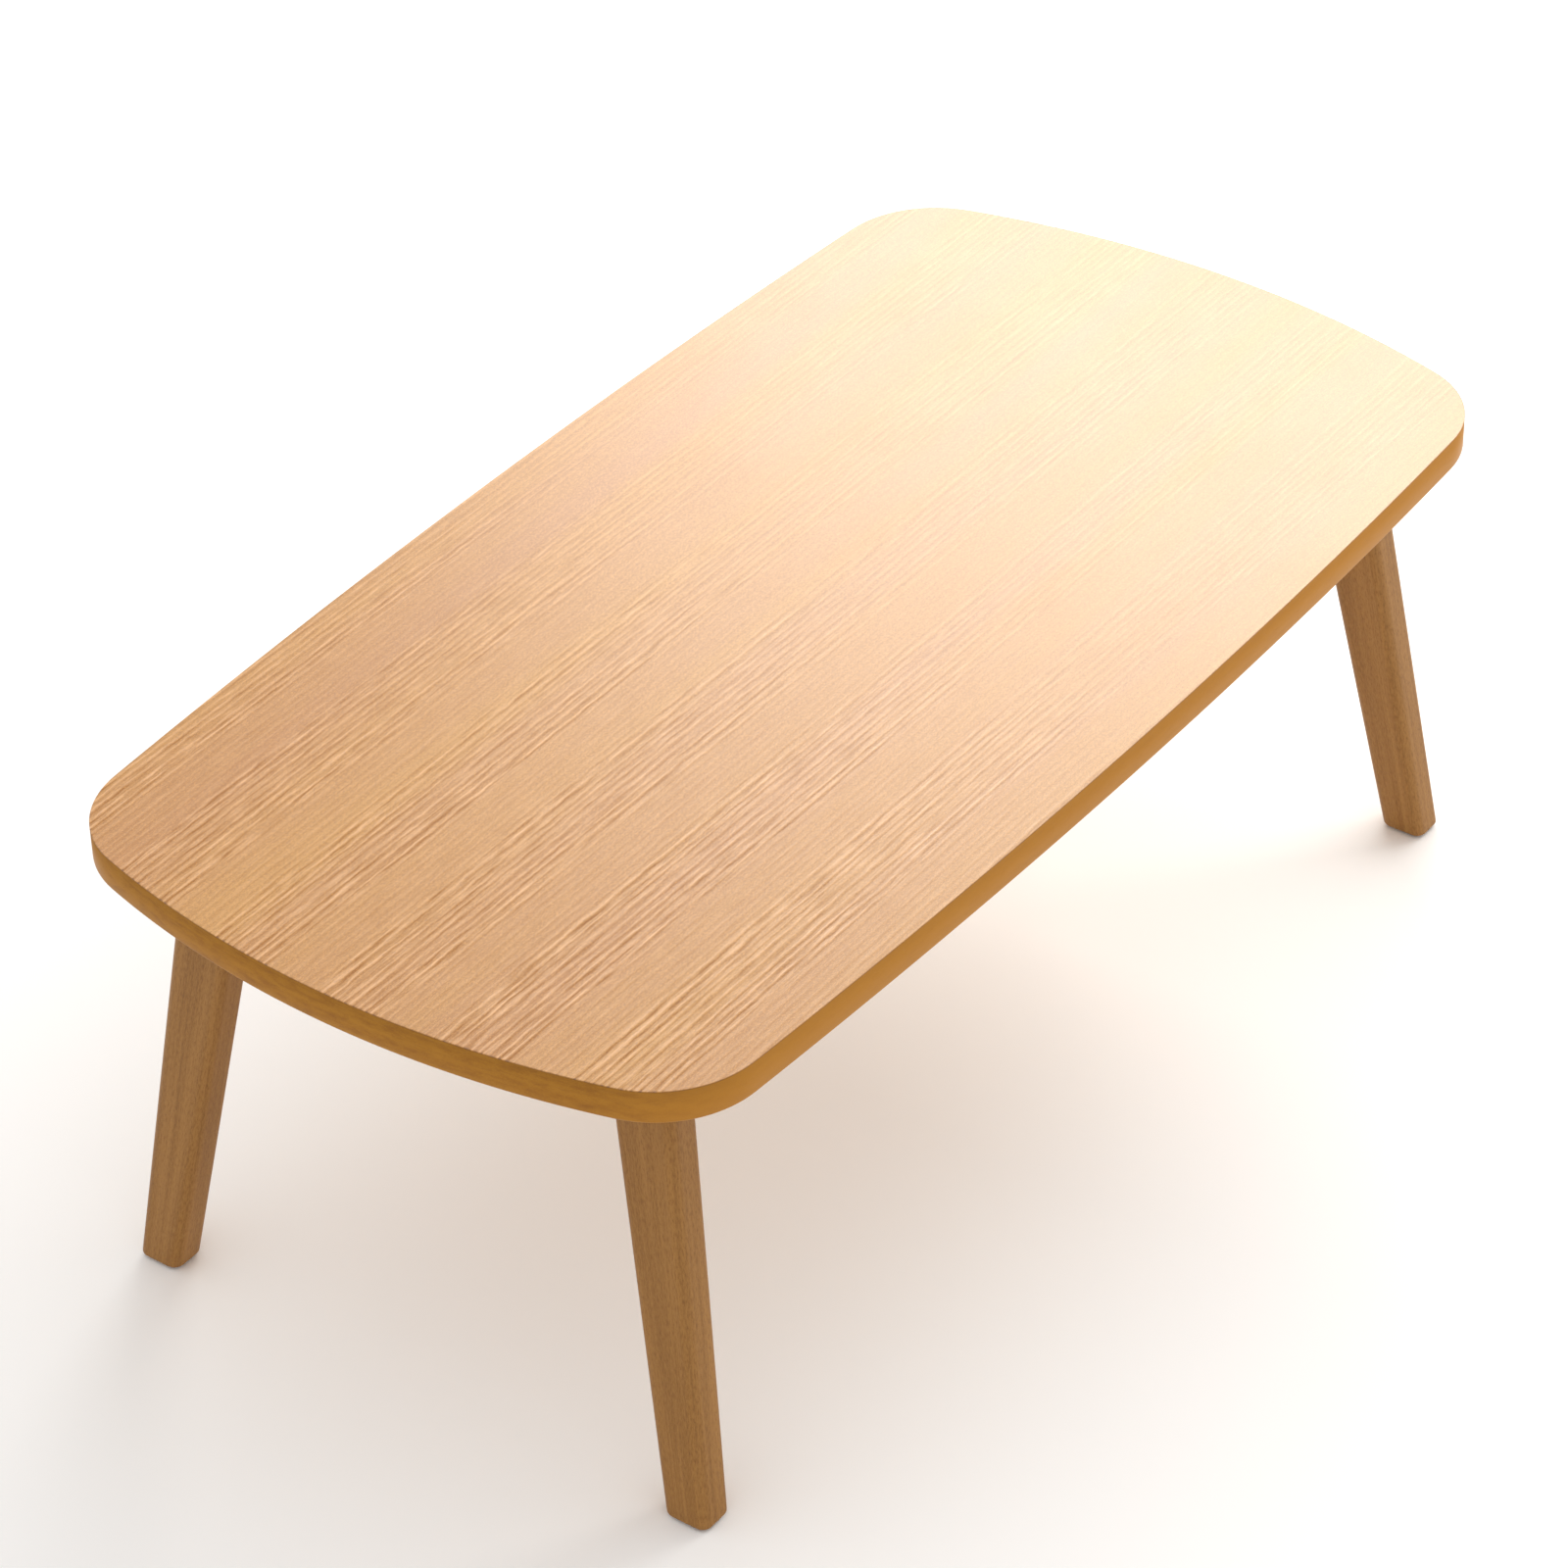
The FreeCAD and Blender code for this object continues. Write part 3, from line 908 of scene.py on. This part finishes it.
def backingFinish():
    # plain sheet, grain along the length, sealed once and left matt
    material, wires, shader = newMaterial("backingSheet")
    place = wires.add("ShaderNodeTexCoord").outputs["Object"]
    grain = useGroup(wires, woodGrain, Vector=place, Streak_Scale=280.0, Band_Scale=12.0,
                     Pore_Amount=0.7).outputs
    sheen = useGroup(wires, lacquerSheen, Vector=place, Gloss=0.62, Spread=0.12)
    colour = wires.tint(backing["mid"], backing["pale"], grain["Bands"], backing["paleSpan"])
    colour = wires.tint(colour, backing["dark"], grain["Streaks"], backing["darkSpan"])
    colour = wires.mix(wires.times(grain["Pores"], backing["poreTint"]), colour, backing["dark"])
    wires.finish(shader, colour, sheen.outputs["Roughness"], grain["Height"],
                 strength=0.4, distance=0.3 * mm)
    return material


pad = {
    "body": (0.022, 0.018, 0.016, 1),
    "dust": (0.16, 0.14, 0.12, 1),
    "dustScale": 160.0,
    "dustRange": (0.4, 0.7),
    "dustHeight": (0.0, 1.6 * mm, 0.7, 0.1),
    "roughRange": (0.3, 0.7, 0.55, 0.85),
    "fineScale": 1800.0,
}


def padFinish():
    # dark rubber, dusty where it meets the floor
    material, wires, shader = newMaterial("footRubber")
    place = wires.add("ShaderNodeTexCoord").outputs["Object"]
    dust = wires.noise(place, pad["dustScale"], detail=4.0, rough=0.65)
    low = wires.stretch(wires.axis(place, 2), *pad["dustHeight"])
    dusty = wires.times(wires.stretch(dust, *pad["dustRange"]), low)
    colour = wires.mix(dusty, pad["body"], pad["dust"])
    rough = wires.stretch(dust, *pad["roughRange"])
    fine = wires.noise(place, pad["fineScale"], detail=2.0)
    wires.finish(shader, colour, rough, fine, strength=0.5, distance=0.2 * mm)
    return material


plate = {
    "body": (0.018, 0.018, 0.019, 1),
    "dusty": (0.05, 0.048, 0.045, 1),
    "bare": (0.42, 0.41, 0.39, 1),
    "cloudScale": 45.0,
    "dustySpan": (0.4, 0.7, 1.0),
    "wear": 0.6,
    "roughRange": (0.3, 0.7, 0.38, 0.55),
    "peelScale": 1100.0,
}


def plateFinish():
    # black powder coat with its orange-peel skin, worn to bare steel on edges
    material, wires, shader = newMaterial("powderCoat", Specular_IOR_Level=0.45)
    place = wires.add("ShaderNodeTexCoord").outputs["Object"]
    rub = useGroup(wires, edgeRub, Vector=place, Rub_Width=0.6 * mm)
    cloud = wires.noise(place, plate["cloudScale"], detail=4.0, rough=0.6)
    peel = wires.noise(place, plate["peelScale"], detail=2.0, rough=0.4)
    worn = wires.times(rub.outputs["Rub"], plate["wear"])
    colour = wires.tint(plate["body"], plate["dusty"], cloud, plate["dustySpan"])
    colour = wires.mix(worn, colour, plate["bare"])
    wires.give(shader.inputs["Metallic"], worn)
    rough = wires.stretch(cloud, *plate["roughRange"])
    wires.finish(shader, colour, rough, peel, strength=0.35, distance=0.2 * mm)
    return material


zinc = {
    "yellow": (0.66, 0.60, 0.38, 1),
    "white": (0.62, 0.63, 0.63, 1),
    "rubbedAndHighlight": (0.86, 0.86, 0.84, 1),
    "dulling": 0.45,
    "cloudScale": 240.0,
    "dullSpan": (0.35, 0.7, 1.0),
    "rubTint": 0.7,
    "roughRange": (0.3, 0.7, 0.26, 0.5),
    "speckScale": 2400.0,
}


def zincFinish(name, tint):
    # zinc plating: cloudy, faintly speckled, darker where it has dulled
    material, wires, shader = newMaterial(name, Metallic=1.0)
    place = wires.add("ShaderNodeTexCoord").outputs["Object"]
    rub = useGroup(wires, edgeRub, Vector=place, Rub_Width=0.4 * mm)
    cloud = wires.noise(place, zinc["cloudScale"], detail=4.0, rough=0.6)
    speck = wires.noise(place, zinc["speckScale"], detail=2.0)
    dull = tuple(zinc["dulling"] * c for c in tint[:3]) + (1,)
    colour = wires.tint(tint, dull, cloud, zinc["dullSpan"])
    colour = wires.mix(wires.times(rub.outputs["Rub"], zinc["rubTint"]), colour, zinc["rubbedAndHighlight"])
    rough = wires.stretch(cloud, *zinc["roughRange"])
    wires.finish(shader, colour, rough, speck, strength=0.3, distance=0.1 * mm)
    return material


dressNodes("top_core", boardFinish())
dressNodes("backing_veneer", backingFinish())
dressNodes("foot_pad", padFinish())
dressNodes("leg_plate", plateFinish())
dressNodes("leg_screws", zincFinish("yellowZinc", zinc["yellow"]))
print("finishes of the modelled pieces done")


# screws under the plates, one modelled head and shank set at every place

plateScrew = {
    "headRadius": 4.2 * mm,
    "headHeight": 2.4 * mm,
    "headEdge": 0.5 * mm,
    "edgeInset": 0.3,                              # share of the edge that its round takes in
    "crown": 0.7 * mm,
    "crownReach": 0.86,                            # shares of the radius and of the crown's height
    "crownFall": 0.7,
    "rimFall": 1.15,
    "crownSteps": 5,
    "shankRadius": 2.0 * mm,
    "recessSpan": 4.6 * mm,
    "recessWidth": 1.0 * mm,
    "recessDepth": 1.4 * mm,
    "turns": 40,
    "seed": 7,
}


def screwProfile(length):
    # (radius, height) from the head's middle outwards and up to the shank's end; height zero is
    # under the head, which hangs down
    radius, edge = plateScrew["headRadius"], plateScrew["headEdge"]
    lowest, crown = -plateScrew["headHeight"], plateScrew["crown"]
    steps = plateScrew["crownSteps"]
    line = []
    for i in range(1, steps + 1):
        turn = math.pi / 2 * i / steps
        line.append((radius * math.sin(turn) * plateScrew["crownReach"],
                     lowest + crown * (1 - math.cos(turn)) * plateScrew["crownFall"]))
    rim = lowest + crown * plateScrew["rimFall"]
    return line + [(radius - edge * plateScrew["edgeInset"], rim), (radius, rim + edge),
                   (radius, 0.0), (plateScrew["shankRadius"], 0.0),
                   (plateScrew["shankRadius"], length)]


def screwShape(length):
    line, count = screwProfile(length), plateScrew["turns"]
    height = plateScrew["headHeight"]
    turns = [2 * math.pi * i / count for i in range(count)]
    verts, faces = [(0, 0, -height)], []
    for radius, z in line:
        verts += [(radius * math.cos(turn), radius * math.sin(turn), z) for turn in turns]
    verts.append((0, 0, length))
    for i in range(count):
        j = (i + 1) % count
        faces.append((0, 1 + j, 1 + i))
        for k in range(len(line) - 1):
            a, b = 1 + k * count, 1 + (k + 1) * count
            faces.append((a + i, a + j, b + j, b + i))
        end = 1 + (len(line) - 1) * count
        faces.append((end + i, end + j, len(verts) - 1))
    body = newMesh("screwBody", verts, faces)
    span, width = plateScrew["recessSpan"], plateScrew["recessWidth"]
    for sizeX, sizeY in ((span, width), (width, span)):
        bpy.ops.mesh.primitive_cube_add(size=1, location=(0, 0, -height))
        cutter = bpy.context.object
        cutter.scale = (sizeX, sizeY, 2 * plateScrew["recessDepth"])
        bpy.context.view_layer.update()
        cut = body.modifiers.new("recess", "BOOLEAN")
        cut.operation, cut.solver, cut.object = "DIFFERENCE", "EXACT", cutter
        makePlain(body)
        bpy.data.objects.remove(cutter)
    return body


def makeScrewTree():
    wires, inside, outside = newGroup(
        "screwTree",
        [("Geometry", "NodeSocketGeometry", None), ("Screw", "NodeSocketObject", None),
         ("Seed", "NodeSocketInt", plateScrew["seed"]), ("Finish", "NodeSocketMaterial", None)],
        [("Geometry", "NodeSocketGeometry")], "GeometryNodeTree")
    shape = wires.add("GeometryNodeObjectInfo", {"Object": inside.outputs["Screw"]})
    # each screw stopped at its own turn
    turn = wires.add("FunctionNodeRandomValue",
                     {"Min": (0, 0, 0), "Max": (0, 0, math.pi), "Seed": inside.outputs["Seed"]},
                     data_type="FLOAT_VECTOR")
    spread = wires.add("GeometryNodeInstanceOnPoints",
                       {"Points": inside.outputs["Geometry"],
                        "Instance": shape.outputs["Geometry"], "Rotation": turn.outputs[0]})
    endTree(wires, inside, outside, spread)
    return wires.tree


def makePlateScrews():
    boxes = [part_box("plate_screws_" + name) for name in legNames]
    head, edge = plateScrew["headHeight"], plateScrew["headRadius"]
    shape = screwShape(boxes[0][1].z - boxes[0][0].z - head)
    places = [(x, y, low.z + head) for low, high in boxes
              for x in (low.x + edge, high.x - edge) for y in (low.y + edge, high.y - edge)]
    screws = newMesh("plateScrews", places, [])
    growFrom(screws, makeScrewTree(), {"Screw": shape, "Seed": plateScrew["seed"],
                                       "Finish": zincFinish("whiteZinc", zinc["white"])})
    bpy.data.objects.remove(shape)
    print("plate screws made,", len(screws.data.polygons), "faces")
    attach(screws, "root")
    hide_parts(*["plate_screws_" + name for name in legNames])


makePlateScrews()


# floor, light and camera

studio = {
    "floorSize": 40.0,
    "floorColour": (0.95, 0.95, 0.95, 1),
    "floorRough": 0.9,
    "skyColour": (1.0, 0.99, 0.975, 1),
    "skyStrength": 0.95,
    "windowPlace": (2.4, 0.18, 1.88),
    "windowTarget": (0.3, 0.06, 0.435),
    "windowSize": (4.0, 0.6),
    "windowPower": 71.5,
    "windowColour": (1.0, 0.985, 0.95),
}


def makeFloor():
    bpy.ops.mesh.primitive_plane_add(size=studio["floorSize"])
    floor = bpy.context.object
    floor.name = "paleFloor"
    material, _, shader = newMaterial(
        "paleFloorFinish", Roughness=studio["floorRough"], Specular_IOR_Level=0.0,
        Base_Color=studio["floorColour"])
    dress(floor, material)


def makeLights():
    world = bpy.data.worlds.new("studioWorld")
    bpy.context.scene.world = world
    world.use_nodes = True
    sky = world.node_tree.nodes["Background"].inputs
    sky["Color"].default_value = studio["skyColour"]
    sky["Strength"].default_value = studio["skyStrength"]
    lamp = bpy.data.lights.new("windowLight", "AREA")
    lamp.shape = "RECTANGLE"
    lamp.size, lamp.size_y = studio["windowSize"]
    lamp.energy = studio["windowPower"]
    lamp.color = studio["windowColour"]
    holder = newObject("windowLight", lamp)
    holder.location = studio["windowPlace"]
    aim = Vector(studio["windowTarget"]) - Vector(studio["windowPlace"])
    holder.rotation_euler = aim.to_track_quat("-Z", "Y").to_euler()
    bpy.context.scene.view_settings.view_transform = "Standard"


cameraView = {
    "lens": 128.734,
    "sensor": 36.0,
    "shift": -0.00924,
    "azimuth": -53.443,
    "elevation": 36.532,
    "roll": -1.36,
    "distance": 4.23506,
    "target": (-0.20169, -0.13463),
    "clip": (0.1, 100.0),
}


def makeCamera():
    lens = bpy.data.cameras.new("viewCamera")
    lens.lens, lens.sensor_width = cameraView["lens"], cameraView["sensor"]
    lens.shift_x = cameraView["shift"]
    lens.clip_start, lens.clip_end = cameraView["clip"]
    camera = newObject("viewCamera", lens)
    turn, rise, roll = (math.radians(cameraView[k]) for k in ("azimuth", "elevation", "roll"))
    back = Vector((math.sin(turn) * math.cos(rise), -math.cos(turn) * math.cos(rise),
                   math.sin(rise)))
    target = Vector((*cameraView["target"], cadHigh.z))
    camera.location = target + back * cameraView["distance"]
    camera.rotation_mode = "QUATERNION"
    level = (-back).to_track_quat("-Z", "Y")
    right, up = level @ Vector((1, 0, 0)), level @ Vector((0, 1, 0))
    tiltedRight = right * math.cos(roll) + up * math.sin(roll)
    tiltedUp = up * math.cos(roll) - right * math.sin(roll)
    axes = Matrix((tiltedRight, tiltedUp, back)).transposed()
    camera.rotation_quaternion = axes.to_quaternion()
    bpy.context.scene.camera = camera


makeFloor()
makeLights()
makeCamera()
print("stage done")
